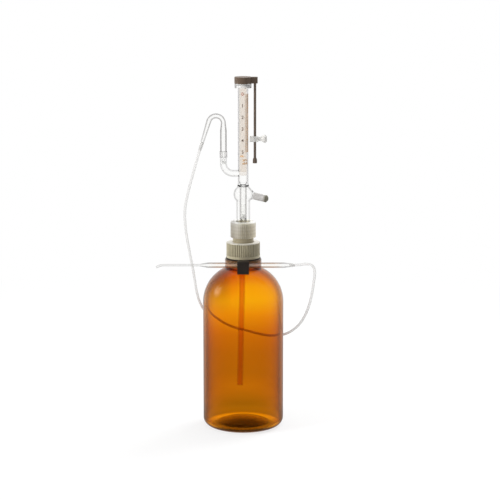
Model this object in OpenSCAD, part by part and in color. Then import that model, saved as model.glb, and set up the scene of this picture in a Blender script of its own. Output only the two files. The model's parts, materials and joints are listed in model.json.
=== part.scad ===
// Bottle top burette: a glass plunger burette that screws onto an amber reagent bottle.
// Millimetres. The origin is the middle of the ring that the bottle stands on, and +Z is up.
// +X points to the stop rod, -X to the swan neck, and -Y to the side that the nozzle hangs on.

/* [Bottle] */
// Outside diameter of the bottle
bottle_d = 95; // [86:1:108]
// Thickness of the bottle's glass
bottle_wall = 3; // [2:0.25:4]
// Height of the bottle's straight side
body_h = 150; // [110:1:180]
// Radius of the rounded heel
heel_r = 9.5; // [6:0.5:12]
// Radius of the shoulder's arc
shoulder_r = 44; // [38:0.5:46]
// Diameter of the dome under the bottle, where it meets the ring that stands on the bench
punt_d = 60; // [40:1:64]
// Rise of the dome under the bottle
punt_h = 6; // [3:0.5:9]
// Diameter of the collar on the neck
neck_d = 43; // [40:0.5:47]
// Height of the collar on the neck
neck_h = 11.4; // [9:0.2:16]
// Diameter of the threaded mouth, without its threads
finish_d = 32; // [30:0.5:35]
// Height of the threaded mouth above the collar
finish_h = 14.5; // [12:0.5:20]
// Diameter of the bore of the mouth
mouth_d = 25; // [21:0.5:27]
// Height of the threads above the mouth's wall
thread_h = 1.2; // [0.8:0.1:1.6]
// Distance from one thread to the next
thread_pitch = 4; // [3:0.25:5]

/* [Cap and adapter] */
// Wall of the bottle cap, without its ribs
cap_wall = 1.4; // [1.2:0.1:2.4]
// Thickness of the bottle cap's top
cap_plate = 1.7; // [1.2:0.1:2.5]
// Number of ribs round the bottle cap
cap_ribs = 50; // [30:1:64]
// Height of a rib above the cap's wall
cap_rib_h = 0.7; // [0.3:0.05:1]
// Height of the plain band at the foot of the bottle cap
cap_band_h = 3; // [1.5:0.25:5]
// Thickness of the seal on the bottle's lip
liner_t = 1.5; // [1:0.1:2.5]
// Thickness of the adapter's flange
flange_t = 2; // [1.5:0.1:3]
// Diameter of the adapter's neck
adapter_d = 24.4; // [22.5:0.2:27]
// Height of the adapter's neck that shows between the cap and the nut
adapter_show = 5.8; // [3:0.2:9]
// Depth of the adapter's spigot in the bottle's mouth
spigot_h = 6; // [3:0.5:10]
// Height of the clamp nut
nut_h = 18.5; // [16:0.5:24]
// Wall of the clamp nut, without its ribs
nut_wall = 2; // [1.4:0.1:3]
// Thickness of the clamp nut's top
nut_plate = 2; // [1.4:0.1:3]
// Number of ribs round the clamp nut
nut_ribs = 36; // [24:1:48]
// Height of a rib above the nut's wall
nut_rib_h = 0.25; // [0.15:0.05:0.5]
// Thickness of the ring that seals the jacket
seal_t = 2.4; // [1.6:0.1:3.2]

/* [Valve head] */
// Outside diameter of the glass jacket
jacket_d = 16.4; // [14.8:0.2:17.6]
// Wall of the glass jacket
jacket_wall = 1.2; // [0.8:0.1:1.6]
// Depth of the jacket in the adapter
jacket_depth = 13; // [8:0.5:16]
// Diameter of the jacket's bulb
bulb_d = 22.6; // [21:0.2:26]
// Height of the bulb's middle above the nut
bulb_up = 32; // [26:0.5:40]
// Height of the sealed joint above the bulb's middle
seam_up = 9.6; // [8.6:0.1:9.9]
// Outside diameter of the inlet tube in the jacket
inlet_d = 8.2; // [7.6:0.1:9]
// Wall of the inlet tube
inlet_wall = 1.1; // [0.8:0.1:1.4]
// Length of the inlet tube below the sealed joint
inlet_l = 38.7; // [34:0.5:41]
// Outside diameter of the barb below the inlet tube
barb_d = 5; // [4.2:0.1:5.6]
// Length of the barb
barb_l = 12; // [8:0.5:14]
// Outside diameter of the vent arm
vent_d = 5.8; // [5:0.1:6.6]
// Length of the vent arm from the bulb's middle
vent_l = 28; // [24:0.5:31]
// Height of the vent arm's start above the bulb's middle
vent_rise = 1.2; // [0:0.1:1.4]
// Angle of the vent arm round to the front
vent_turn = 30; // [0:1:60]
// Slope of the vent arm below level
vent_down = 7.5; // [0:0.5:20]
// Outside diameter of the vent plug
plug_d = 8.3; // [7.8:0.1:9.5]
// Length of the vent plug
plug_l = 17.6; // [15:0.2:20]
// Distance of the vent plug's open end from the bulb's middle
plug_start = 15.2; // [14.4:0.2:16]

/* [Dip tube] */
// Outside diameter of the dip tube
dip_d = 7; // [6.2:0.1:8]
// Bore of the dip tube
dip_bore = 4; // [3:0.1:4.6]
// Length of the dip tube, from the inlet tube down
dip_l = 200.6; // [150:0.2:225]
// Lean of the dip tube below its sleeve on the barb
dip_lean = 1.2; // [0:0.1:2.4]

/* [Barrel and outlet] */
// Bore of the barrel
bore_d = 9.7; // [9:0.1:10.4]
// Wall of the barrel
barrel_wall = 1.2; // [0.9:0.1:1.6]
// Height of the barrel above the sealed joint
barrel_l = 118; // [112:1:124]
// Diameter of the bead round the barrel's rim
rim_d = 13.4; // [13.2:0.1:15]
// Height of the bead round the barrel's rim
rim_h = 3; // [2:0.2:4]
// Diameter of the barrel's foot at the sealed joint
foot_d = 13.8; // [12.6:0.2:16]
// Height of the barrel's foot
foot_h = 3; // [2:0.2:5]
// Height of the side arm above the sealed joint
arm_up = 15.1; // [13:0.2:18]
// Outside diameter of the side arm
arm_d = 8; // [7.4:0.1:8.8]
// Wall of the side arm
arm_wall = 1.2; // [0.9:0.1:1.4]
// Distance of the riser from the barrel's axis
arm_reach = 22.9; // [20:0.2:28]
// Bend radius of the side arm
arm_bend_r = 11.5; // [9:0.5:12.5]
// Height of the socket's top above the side arm
riser_h = 25.5; // [25:0.5:32]
// Outside diameter of the socket on the riser
socket_d = 9.2; // [8.8:0.1:11]
// Height of the socket on the riser
socket_h = 6.6; // [5:0.2:8]
// Outside diameter of the swan neck's straight stem
stem_d = 7.6; // [7:0.1:9]
// Height of the swan neck's straight stem
stem_h = 24.5; // [18:0.5:32]
// Height of the swan neck's taper
taper_h = 8.5; // [5:0.5:12]
// Outside diameter of the swan neck's bend
swan_d = 5.6; // [4.4:0.1:6.2]
// Bend radius of the swan neck
swan_r = 8.6; // [6:0.2:12]
// Lean of the swan neck's leg from upright
swan_lean = 17.4; // [5:0.2:30]
// Length of the swan neck's leg
swan_leg = 33.7; // [20:0.5:45]
// Outside diameter of the swan neck's tip
swan_tip_d = 3.4; // [3:0.1:4]
// Wall of the swan neck
swan_wall = 0.9; // [0.8:0.1:1.2]

/* [Plunger and stop] */
// Height of the plunger's end above the sealed joint
plunger_gap = 13; // [9:0.2:16]
// Wall of the plunger
plunger_wall = 1.6; // [1.1:0.1:2.4]
// Depth of the plunger in the knob
plunger_seat = 5; // [3:0.25:6]
// Thickness of the guide collar's top
guide_plate = 2; // [1.5:0.1:3]
// Depth of the guide collar's skirt below the barrel's rim
skirt_h = 3; // [2:0.2:5]
// Wall of the guide collar's skirt
skirt_wall = 1.3; // [0.9:0.1:1.8]
// Diameter of the knob
knob_d = 20.2; // [19:0.2:24]
// Height of the knob
knob_h = 7.4; // [6.4:0.1:10]
// Diameter of the stop rod
rod_d = 3; // [2.4:0.1:3.6]
// Gap between the guide collar and the stop rod
rod_gap = 2.5; // [1.6:0.1:4]
// Length of the stop rod and its end below the knob
rod_l = 93; // [86:1:100]
// Wall of the knob's arm round the stop rod
rod_boss = 1.7; // [1.2:0.1:2.5]
// Diameter of the bead on the rod's end
bead_d = 5; // [4.6:0.1:6]
// Height of the bead on the rod's end
bead_h = 6; // [5:0.25:8]
// Distance of the volume stop's top below the knob
stop_drop = 61.4; // [30:0.2:75]
// Height of the volume stop
stop_h = 6.4; // [5.6:0.1:8]
// Depth of the volume stop from front to back
stop_w = 7; // [6.4:0.1:9]
// Gap between the barrel and the volume stop's finger
finger_gap = 1.7; // [1.2:0.1:2.2]
// Wall of the volume stop outside the rod
stop_wall = 2.4; // [1.8:0.1:3.5]
// Diameter of the thumbscrew's shank
screw_d = 3; // [2.4:0.1:3.4]
// Diameter of the thumbscrew's neck
screw_neck_d = 4.8; // [4.4:0.1:6]
// Diameter of the thumbscrew's head
screw_head_d = 10; // [8:0.2:13]
// Length of the thumbscrew outside the stop
screw_l = 9.8; // [8:0.2:14]

/* [Nozzle and holder] */
// Thickness of the holder's ring on the neck
ring_t = 1.5; // [1:0.1:2.5]
// Width of the clip
clip_w = 13.8; // [10:0.2:18]
// Thickness of the clip's front leg
clip_front = 1.7; // [1.2:0.1:2.5]
// Thickness of the clip's back leg
clip_back = 1.1; // [0.8:0.1:1.5]
// Thickness of the clip over the nozzle
clip_roof = 1.3; // [1:0.1:2]
// Reach of the clip's front leg below the nozzle's axis
clip_drop = 10.2; // [7:0.2:10.6]
// Outside diameter of the nozzle's body
nozzle_d = 6.2; // [5.6:0.1:7]
// Wall of the nozzle's body
nozzle_wall = 1; // [0.7:0.1:1.4]
// Reach of the nozzle's body to the tail side
nozzle_tail = 47.5; // [30:0.5:60]
// Reach of the nozzle's body to the tip side
nozzle_head = 41; // [30:0.5:60]
// Length of the taper at the tail
tail_l = 10.5; // [6:0.5:14]
// Diameter of the tail's end
tail_d = 3.6; // [3.2:0.1:4.4]
// Length of the taper at the head
head_l = 10; // [6:0.5:14]
// Diameter of the drawn tip
tip_d = 2.5; // [2:0.1:3]
// Length of the drawn tip's straight run
tip_l = 42; // [20:0.5:60]
// Bend of the tip below level
tip_bend = 24; // [0:1:60]
// Length of the tip beyond the bend
tip_end = 3.5; // [2:0.25:8]

/* [Tube] */
// Outside diameter of the discharge tube
tube_d = 3; // [2.4:0.1:3.4]

/* [Hidden] */
$fn = 72;

// Clearances
seat_gap = 0.2;    // between flat faces where one piece turns on the other
turn_gap = 0.4;    // round a thread or a neck that something turns on
push_fit = 0.03;   // round a piece pushed into another
run_fit = 0.05;    // round a piece that slides or turns in a bore
ball_gap = 0.1;    // under a ball at rest
grip_gap = 0.1;    // round the nozzle in its clip
overlap = 1;       // by which a cut runs past a face
lap = 0.4;         // by which a straight end of a bent rod runs into the bend
lap_step = 0.05;   // by which the straight end is thicker than the bend

// Small fixed sizes
edge_r = 1.2;          // rounding of the neck's collar
seam_turn = 97.5;      // turn of the bottle's seam from the side to the back
seal_inset = 1;        // of the jacket's seal from the adapter's edge
dip_air = 1.5;         // air way round the dip tube in the adapter
barb_bore = 2.6;       // bore of the barb
sleeve_wall = 0.3;     // by which the dip tube is stretched over the barb
sleeve_past = 3;       // by which the dip tube's sleeve runs past the barb's end
grip_wall = 0.9;       // ring of the guide collar that grips the barrel's rim
skirt_gap = 0.8;       // space between that ring and the skirt
plunger_tip = 2.5;     // height of the plunger's taper
plunger_tip_d = 7;     // diameter of the plunger's end
tip_bend_r = 12;       // bend radius of the nozzle's tip
tip_bore = 1.2;        // bore of the drawn tip
tail_bore = 1.6;       // bore of the nozzle's tail
swan_tip_bore = 1.4;   // bore of the swan neck's tip
back_gap = 0.4;        // between the neck's collar and the clip
clip_slot = 4.8;       // opening that the nozzle is pressed through
tab_lap = 1.8;         // by which the clip's tab runs into the ring
clip_back_drop = 5;    // reach of the clip's back leg below the nozzle's axis
ball_lift = 1.5;       // room above each ball
inlet_seat_h = 4;      // height of the inlet valve's seat
inlet_ball_d = 4.4;    // ball of the inlet valve
inlet_seat_bore = 2.8; // bore of the inlet valve's seat
cage_h = 12;           // height of the inlet valve's cage
cage_wall = 0.6;       // wall of the inlet valve's cage
cage_bar = 0.9;        // bar across the cage that stops the ball
outlet_ball_d = 3.6;   // ball of the outlet valve
outlet_seat_bore = 2.2; // bore of the outlet valve's seat
ball_hold = 0.8;       // by which the swan neck's spigot is narrower than that ball
barrel_floor = 6;      // height of the bore's floor above the sealed joint
floor_cone = 4.5;      // height of the cone below the bore
root_d = 16.2;         // diameter of the vent arm's flared root in the bulb
root_end_d = 7;        // diameter of the vent arm's root at the plug
root_start = 6.4;      // where the vent arm's root starts
plug_round = 1.6;      // chamfer of the vent plug's closed end
rod_seat = 4.5;        // depth of the stop rod in the knob
bead_seat = 4;         // depth of the stop rod in its bead
bead_cone = 2.2;       // height of the bead's taper
bead_rim = 0.4;        // wall of the bead at the top of its taper
screw_neck_l = 2.4;    // length of the thumbscrew's neck
screw_flare_l = 4.9;   // length over which the thumbscrew's head widens
screw_end_d = 6.6;     // diameter of the thumbscrew's end face
band_step = 0.15;      // by which the cap's plain band stands out from the ribs

// Heights up the stack, from the bench
shoulder_x = bottle_d / 2 - shoulder_r;
neck_z = body_h + sqrt(pow(shoulder_r, 2) - pow(neck_d / 2 - shoulder_x, 2));
collar_z = neck_z + neck_h;
ring_top = collar_z + ring_t;
cap_z = ring_top + seat_gap;
lip_z = collar_z + finish_h;
flange_z = lip_z + liner_t;
flange_top = flange_z + flange_t;
cap_top = flange_top + seat_gap + cap_plate;
nut_z = cap_top + adapter_show;
nut_top = nut_z + nut_h;
adapter_top = nut_top - nut_plate - seat_gap - seal_t;
jacket_z = adapter_top - jacket_depth;
bulb_z = nut_top + bulb_up;
seam_z = bulb_z + seam_up;
inlet_z = seam_z - inlet_l;
barrel_top = seam_z + barrel_l;
arm_z = seam_z + arm_up;
socket_top = arm_z + riser_h;
guide_top = barrel_top + guide_plate;
knob_z = guide_top + seat_gap;
plunger_z = seam_z + plunger_gap;
rod_z = knob_z - rod_l;
stop_top = knob_z - stop_drop;
stop_z = stop_top - stop_h;

// Radii and bores that follow from those sizes
punt_r = (pow(punt_d / 2, 2) + pow(punt_h, 2)) / (2 * punt_h);
thread_r = finish_d / 2 + thread_h;
cap_bore_r = thread_r + turn_gap;
cap_r = cap_bore_r + cap_wall;
nut_bore_r = adapter_d / 2 + turn_gap;
nut_r = nut_bore_r + nut_wall;
adapter_core_r = adapter_d / 2 - thread_h;
dip_way_r = dip_d / 2 + dip_air;
inlet_bore_r = inlet_d / 2 - inlet_wall;
barrel_r = bore_d / 2 + barrel_wall;
arm_bore_r = arm_d / 2 - arm_wall;
plunger_r = bore_d / 2 - run_fit;
plug_bore_r = vent_d / 2 + grip_gap;
grip_r = rim_d / 2 + push_fit;
skirt_bore_r = grip_r + grip_wall + skirt_gap;
guide_r = skirt_bore_r + skirt_wall;
rod_x = guide_r + rod_gap + rod_d / 2;
spigot_r = mouth_d / 2 - turn_gap;

// The inlet valve stands on the floor of the inlet tube
inlet_floor = inlet_z + inlet_wall;
inlet_seat_top = inlet_floor + inlet_seat_h;
inlet_ball_z = inlet_seat_top + ball_rise(inlet_ball_d / 2, inlet_seat_bore / 2) + ball_gap;
inlet_bar_z = inlet_ball_z + inlet_ball_d / 2 + ball_lift + ball_gap;

// The outlet valve's ball is held below the swan neck's spigot, and its seat stands on the arm's bend
spigot_z = socket_top - socket_h + seat_gap;
outlet_ball_z = spigot_z - ball_gap - ball_lift - outlet_ball_d / 2;
outlet_seat_top = outlet_ball_z - ball_rise(outlet_ball_d / 2, outlet_seat_bore / 2) - ball_gap;
spigot_d = socket_d - 2 * arm_wall - 2 * run_fit;
spigot_bore = outlet_ball_d - ball_hold;

// Places on the swan neck
stem_z = socket_top + seat_gap;
taper_z = stem_z + stem_h;
swan_z = taper_z + taper_h;
swan_x = -arm_reach - swan_r;
leg_x = swan_x - swan_r * cos(swan_lean);
leg_z = swan_z + swan_r * sin(swan_lean);

// The nozzle lies in its clip, in front of the neck's collar
nozzle_y = -(neck_d / 2 + back_gap + clip_back + grip_gap + nozzle_d / 2);
nozzle_z = ring_top - clip_roof - grip_gap - nozzle_d / 2;
clip_y = nozzle_y - nozzle_d / 2 - grip_gap - clip_front;

// Route of the discharge tube, from the swan neck's tip to the nozzle's tail
tube_route = [
    [-49.9, 0, 331.3], [-54.2, 0.4, 317], [-58.2, 1, 303], [-62, 2, 289], [-65, 3, 277], [-67.5, 4, 265],
    [-68.5, 5, 253], [-68, 6, 240], [-66.5, 8, 226], [-64, 10, 211], [-61.5, 12, 196], [-59, 14, 182],
    [-57, 17, 167], [-54.5, 21, 152], [-50, 27, 138], [-43, 34, 128], [-34, 41, 120], [-23, 47, 112],
    [-10, 51, 106], [5, 52, 102], [19, 49.5, 99], [32, 44, 98], [43, 36, 100], [52, 27, 104],
    [60, 18, 111], [67, 9, 120], [72, 1, 130], [76, -6, 141], [79, -12, 153], [81, -17, 165],
    [82.5, -21, 177], [83.5, -24, 187], [82.5, -25.7, 195], [78.5, -26.2, 199.3], [72, -26.2, 199.8],
    [66, -26.2, 199], [58.3, -26.2, 198.6]
];
tube_sides = 8;
tube_steps = 2;

// Height of a ball's middle above the edge of the hole that it sits on
function ball_rise(ball_r, hole_r) = sqrt(pow(ball_r, 2) - pow(hole_r, 2));

// A plain ring between two radii
module ring(outer_r, inner_r, z, h) {
    translate([0, 0, z])
        difference() {
            cylinder(r = outer_r, h = h);
            translate([0, 0, -overlap])
                cylinder(r = inner_r, h = h + 2 * overlap);
        }
}

// Outline of a ribbed drum: each rib is a crest between two valleys
module ribbed_outline(root_r, rib_h, ribs) {
    step = 360 / ribs;
    crest = [0, 0.2, 0.62, 0.82];
    lift = [0, 1, 1, 0];
    polygon([
        for (i = [0 : ribs - 1])
            for (k = [0 : 3])
                (root_r + rib_h * lift[k])
                    * [cos(step * (i + crest[k])), sin(step * (i + crest[k]))]
    ]);
}

// A bent rod in the XZ plane, about the given centre, from one angle round by another
module bend(centre, bend_r, rod_r, from, turn) {
    translate(centre)
        rotate([90, 0, 0])
            rotate([0, 0, from])
                rotate_extrude(angle = turn)
                    translate([bend_r, 0])
                        circle(r = rod_r);
}

// A straight or tapered rod along +X
module rod_x_way(from, l, r1, r2) {
    translate([from, 0, 0])
        rotate([0, 90, 0])
            cylinder(h = l, r1 = r1, r2 = r2);
}

// Children drawn along +Z are laid along the vent arm
module along_vent() {
    translate([0, 0, bulb_z + vent_rise])
        rotate([0, 0, -vent_turn])
            rotate([0, 90 + vent_down, 0])
                children();
}

// Flared root of the vent arm, drawn in from its outside by a wall
module vent_root(wall, end_r) {
    along_vent()
        translate([0, 0, root_start])
            cylinder(r1 = root_d / 2 - wall, r2 = end_r, h = plug_start - seat_gap - root_start);
}

// Half profile of the bottle's body, drawn in from its outside by a wall
module bottle_profile(wall) {
    heel = heel_r - wall;
    heel_x = bottle_d / 2 - heel_r;
    translate([0, heel_r])
        square([bottle_d / 2 - wall, body_h - heel_r]);
    translate([0, wall])
        square([heel_x, heel_r - wall]);
    translate([heel_x, heel_r])
        circle(r = heel);
    intersection() {
        translate([shoulder_x, body_h])
            circle(r = shoulder_r - wall);
        translate([0, body_h])
            square([bottle_d, shoulder_r]);
    }
}

// Half profile of the neck, its collar and the threaded mouth
module neck_profile() {
    translate([0, body_h])
        square([finish_d / 2, lip_z - body_h]);
    translate([0, neck_z - edge_r])
        square([neck_d / 2, neck_h]);
    translate([0, collar_z - 2 * edge_r])
        square([neck_d / 2 - edge_r, 2 * edge_r]);
    translate([neck_d / 2 - edge_r, collar_z - edge_r])
        circle(r = edge_r);
    for (z = [cap_z + thread_pitch / 2 : thread_pitch : lip_z - thread_h])
        translate([finish_d / 2, z])
            circle(r = thread_h);
}

module bottle() {
    color([0.55, 0.29, 0.05])
        rotate([0, 0, seam_turn])
            rotate_extrude()
                difference() {
                    union() {
                        bottle_profile(0);
                        neck_profile();
                    }
                    translate([0, punt_h - punt_r])
                        intersection() {
                            circle(r = punt_r);
                            translate([0, -punt_r])
                                square([punt_r, 2 * punt_r]);
                        }
                    difference() {
                        bottle_profile(bottle_wall);
                        translate([0, punt_h - punt_r])
                            circle(r = punt_r + bottle_wall);
                    }
                    translate([0, body_h])
                        square([mouth_d / 2, lip_z - body_h + overlap]);
                }
}

// Side view of the clip: Y to the right and Z up
module clip_outline() {
    difference() {
        union() {
            translate([clip_y, nozzle_z - clip_back_drop])
                square([-neck_d / 2 - back_gap - clip_y, ring_top - nozzle_z + clip_back_drop]);
            translate([clip_y, nozzle_z - clip_drop])
                square([clip_front, clip_drop]);
            translate([clip_y, collar_z])
                square([-clip_y - neck_d / 2 + edge_r + tab_lap, ring_t]);
        }
        translate([nozzle_y, nozzle_z])
            circle(r = nozzle_d / 2 + grip_gap);
        translate([nozzle_y - clip_slot / 2, nozzle_z - clip_back_drop - overlap])
            square([clip_slot, clip_back_drop + overlap]);
    }
}

module nozzle_holder() {
    color([0.1, 0.08, 0.06])
        union() {
            ring(neck_d / 2 - edge_r, thread_r + turn_gap, collar_z, ring_t);
            translate([-clip_w / 2, 0, 0])
                rotate([90, 0, 90])
                    linear_extrude(clip_w)
                        clip_outline();
        }
}

module cap_liner() {
    color([0.93, 0.92, 0.88])
        ring(finish_d / 2, mouth_d / 2, lip_z, liner_t);
}

module adapter() {
    color([0.62, 0.58, 0.47])
        difference() {
            union() {
                translate([0, 0, flange_z - spigot_h])
                    cylinder(r = spigot_r, h = spigot_h + flange_t);
                translate([0, 0, flange_z])
                    cylinder(r = cap_bore_r - turn_gap, h = flange_t);
                translate([0, 0, flange_z])
                    cylinder(r = adapter_d / 2, h = nut_z - flange_z);
                translate([0, 0, flange_z])
                    cylinder(r = adapter_core_r, h = adapter_top - flange_z);
                for (z = [nut_z + thread_pitch / 2 : thread_pitch : adapter_top - thread_h])
                    translate([0, 0, z])
                        rotate_extrude()
                            translate([adapter_core_r, 0])
                                circle(r = thread_h);
            }
            translate([0, 0, flange_z - spigot_h - overlap])
                cylinder(r = dip_way_r, h = adapter_top);
            translate([0, 0, jacket_z])
                cylinder(r = jacket_d / 2 + run_fit, h = adapter_top - jacket_z + overlap);
        }
}

module bottle_cap() {
    color([0.7, 0.66, 0.56])
        difference() {
            union() {
                translate([0, 0, cap_z])
                    cylinder(r = cap_r + cap_rib_h + band_step, h = cap_band_h);
                translate([0, 0, cap_z])
                    linear_extrude(cap_top - cap_z - cap_rib_h)
                        ribbed_outline(cap_r, cap_rib_h, cap_ribs);
                translate([0, 0, cap_z])
                    cylinder(r = cap_r - cap_rib_h, h = cap_top - cap_z);
            }
            translate([0, 0, cap_z - overlap])
                cylinder(r = cap_bore_r, h = flange_top + seat_gap - cap_z + overlap);
            translate([0, 0, cap_z])
                cylinder(r = adapter_d / 2 + turn_gap, h = cap_top - cap_z + overlap);
        }
}

module jacket_seal() {
    color([0.85, 0.83, 0.78])
        ring(adapter_d / 2 - seal_inset, jacket_d / 2 + run_fit, adapter_top, seal_t);
}

module clamp_nut() {
    color([0.9, 0.89, 0.86])
        difference() {
            translate([0, 0, nut_z])
                union() {
                    linear_extrude(nut_h - nut_rib_h)
                        ribbed_outline(nut_r, nut_rib_h, nut_ribs);
                    cylinder(r = nut_r - nut_rib_h, h = nut_h);
                }
            translate([0, 0, nut_z - overlap])
                cylinder(r = nut_bore_r, h = nut_h - nut_plate + overlap);
            translate([0, 0, nut_z])
                cylinder(r = jacket_d / 2 + turn_gap, h = nut_h + overlap);
        }
}

// Jacket and bulb, drawn in from their outside by a wall
module jacket_shape(wall) {
    cut = wall > 0 ? overlap : 0;
    translate([0, 0, jacket_z - cut])
        cylinder(r = jacket_d / 2 - wall, h = bulb_z - jacket_z + cut);
    translate([0, 0, bulb_z])
        sphere(r = bulb_d / 2 - wall);
}

module valve_head() {
    color([0.88, 0.9, 0.9])
        difference() {
            union() {
                difference() {
                    union() {
                        jacket_shape(0);
                        along_vent()
                            cylinder(r = vent_d / 2, h = vent_l);
                        vent_root(0, root_end_d / 2);
                    }
                    jacket_shape(jacket_wall);
                    vent_root(jacket_wall, vent_d / 2 - jacket_wall);
                    along_vent()
                        cylinder(r = vent_d / 2 - jacket_wall, h = vent_l + overlap);
                }
                translate([0, 0, inlet_z])
                    cylinder(r = inlet_d / 2, h = seam_z - inlet_z);
                translate([0, 0, inlet_z - barb_l])
                    cylinder(r = barb_d / 2, h = barb_l + inlet_wall);
            }
            translate([0, 0, inlet_floor])
                cylinder(r = inlet_bore_r, h = bulb_d + inlet_l);
            translate([0, 0, inlet_z - barb_l - overlap])
                cylinder(r = barb_bore / 2, h = barb_l + inlet_wall + 2 * overlap);
            translate([-bulb_d, -bulb_d, seam_z])
                cube([2 * bulb_d, 2 * bulb_d, bulb_d]);
        }
}

module vent_plug() {
    end = plug_start + plug_l;
    color([0.72, 0.7, 0.68])
        along_vent()
            difference() {
                union() {
                    translate([0, 0, plug_start])
                        cylinder(r = plug_d / 2, h = plug_l - plug_round);
                    translate([0, 0, end - plug_round])
                        cylinder(r1 = plug_d / 2, r2 = plug_d / 2 - plug_round, h = plug_round);
                }
                translate([0, 0, plug_start - overlap])
                    cylinder(r = plug_bore_r, h = vent_l + seat_gap - plug_start + overlap);
            }
}

module inlet_seat() {
    color([0.95, 0.95, 0.93])
        ring(inlet_bore_r - push_fit, inlet_seat_bore / 2, inlet_floor, inlet_seat_h);
}

module inlet_cage() {
    cage_r = inlet_bore_r - push_fit;
    color([0.92, 0.93, 0.93])
        union() {
            ring(cage_r, cage_r - cage_wall, inlet_seat_top, cage_h);
            translate([-cage_r + cage_wall / 2, -cage_bar / 2, inlet_bar_z])
                cube([2 * cage_r - cage_wall, cage_bar, cage_bar]);
        }
}

module inlet_ball() {
    color([0.8, 0.85, 0.88])
        translate([0, 0, inlet_ball_z])
            sphere(r = inlet_ball_d / 2);
}

// The dip tube's top is a wider sleeve on the barb, and its rest leans from the end of that sleeve
module dip_tube() {
    sleeve_z = inlet_z - barb_l - sleeve_past;
    color([0.9, 0.88, 0.84])
        difference() {
            union() {
                translate([0, 0, sleeve_z])
                    cylinder(r = dip_d / 2 + sleeve_wall, h = inlet_z - sleeve_z);
                translate([0, 0, sleeve_z + sleeve_past / 2])
                    rotate([0, 180 + dip_lean, 0])
                        cylinder(r = dip_d / 2, h = dip_l - barb_l - sleeve_past / 2);
            }
            translate([0, 0, sleeve_z + sleeve_past / 2])
                cylinder(r = barb_d / 2 + push_fit, h = inlet_z - sleeve_z);
            translate([0, 0, sleeve_z + sleeve_past / 2])
                rotate([0, 180 + dip_lean, 0])
                    translate([0, 0, -overlap])
                        cylinder(r = dip_bore / 2, h = dip_l + overlap);
        }
}

// Riser, bend and level run of the side arm, as one rod
module side_arm(r) {
    level = arm_reach - arm_bend_r;
    translate([0, 0, arm_z])
        rod_x_way(-level, level, r, r);
    bend([-level, 0, arm_z + arm_bend_r], arm_bend_r, r, 180, 90);
    translate([-arm_reach, 0, arm_z + arm_bend_r])
        cylinder(r = r, h = riser_h - arm_bend_r - socket_h / 2);
}

module barrel() {
    color([0.9, 0.9, 0.88])
        difference() {
            union() {
                translate([0, 0, seam_z])
                    cylinder(r = barrel_r, h = barrel_l);
                translate([0, 0, seam_z])
                    cylinder(r1 = foot_d / 2, r2 = barrel_r, h = foot_h);
                translate([0, 0, barrel_top - rim_h])
                    cylinder(r = rim_d / 2, h = rim_h);
                side_arm(arm_d / 2);
                translate([-arm_reach, 0, socket_top - socket_h])
                    cylinder(r = socket_d / 2, h = socket_h);
            }
            translate([0, 0, seam_z + barrel_floor])
                cylinder(r = bore_d / 2, h = barrel_l);
            translate([0, 0, seam_z + barrel_floor - floor_cone])
                cylinder(r1 = inlet_bore_r, r2 = bore_d / 2, h = floor_cone);
            translate([0, 0, seam_z - overlap])
                cylinder(r = inlet_bore_r, h = barrel_floor);
            side_arm(arm_bore_r);
            translate([-arm_reach, 0, socket_top - socket_h])
                cylinder(r = spigot_d / 2 + run_fit, h = socket_h + overlap);
        }
}

module outlet_seat() {
    bottom = arm_z + arm_bend_r;
    color([0.95, 0.95, 0.93])
        translate([-arm_reach, 0, 0])
            ring(arm_bore_r - push_fit, outlet_seat_bore / 2, bottom, outlet_seat_top - bottom);
}

module outlet_ball() {
    color([0.8, 0.85, 0.88])
        translate([-arm_reach, 0, outlet_ball_z])
            sphere(r = outlet_ball_d / 2);
}

// Swan neck as one rod, drawn in from its outside by a wall
module swan_shape(wall, foot_r, tip_r) {
    cut = wall > 0 ? overlap : 0;
    bend_rod_r = swan_d / 2 - wall;
    translate([-arm_reach, 0, spigot_z - cut])
        cylinder(r = foot_r, h = stem_z - spigot_z + 2 * cut);
    translate([-arm_reach, 0, stem_z])
        cylinder(r = stem_d / 2 - wall, h = stem_h);
    translate([-arm_reach, 0, taper_z])
        cylinder(r1 = stem_d / 2 - wall, r2 = bend_rod_r, h = taper_h);
    bend([swan_x, 0, swan_z], swan_r, bend_rod_r, 0, 180 - swan_lean);
    translate([leg_x, 0, leg_z])
        rotate([0, 180 + swan_lean, 0])
            union() {
                translate([0, 0, -lap])
                    cylinder(r1 = bend_rod_r + lap_step, r2 = tip_r, h = swan_leg + lap);
                translate([0, 0, swan_leg - overlap])
                    cylinder(r = tip_r, h = overlap + cut);
            }
}

module swan_neck() {
    color([0.88, 0.9, 0.9])
        difference() {
            swan_shape(0, spigot_d / 2, swan_tip_d / 2);
            swan_shape(swan_wall, spigot_bore / 2, swan_tip_bore / 2);
        }
}

module guide_collar() {
    color([0.9, 0.92, 0.92])
        union() {
            ring(guide_r, plunger_r + grip_gap, barrel_top, guide_plate);
            ring(guide_r, skirt_bore_r, barrel_top - skirt_h, skirt_h + guide_plate / 2);
            ring(grip_r + grip_wall, grip_r, barrel_top - rim_h / 2, rim_h / 2 + guide_plate / 2);
        }
}

module plunger() {
    top = knob_z + plunger_seat;
    color([0.87, 0.83, 0.78])
        difference() {
            union() {
                translate([0, 0, plunger_z + plunger_tip])
                    cylinder(r = plunger_r, h = top - plunger_z - plunger_tip);
                translate([0, 0, plunger_z])
                    cylinder(r1 = plunger_tip_d / 2, r2 = plunger_r, h = plunger_tip);
            }
            translate([0, 0, plunger_z + plunger_tip + plunger_wall])
                cylinder(r = plunger_r - plunger_wall, h = top);
        }
}

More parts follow.
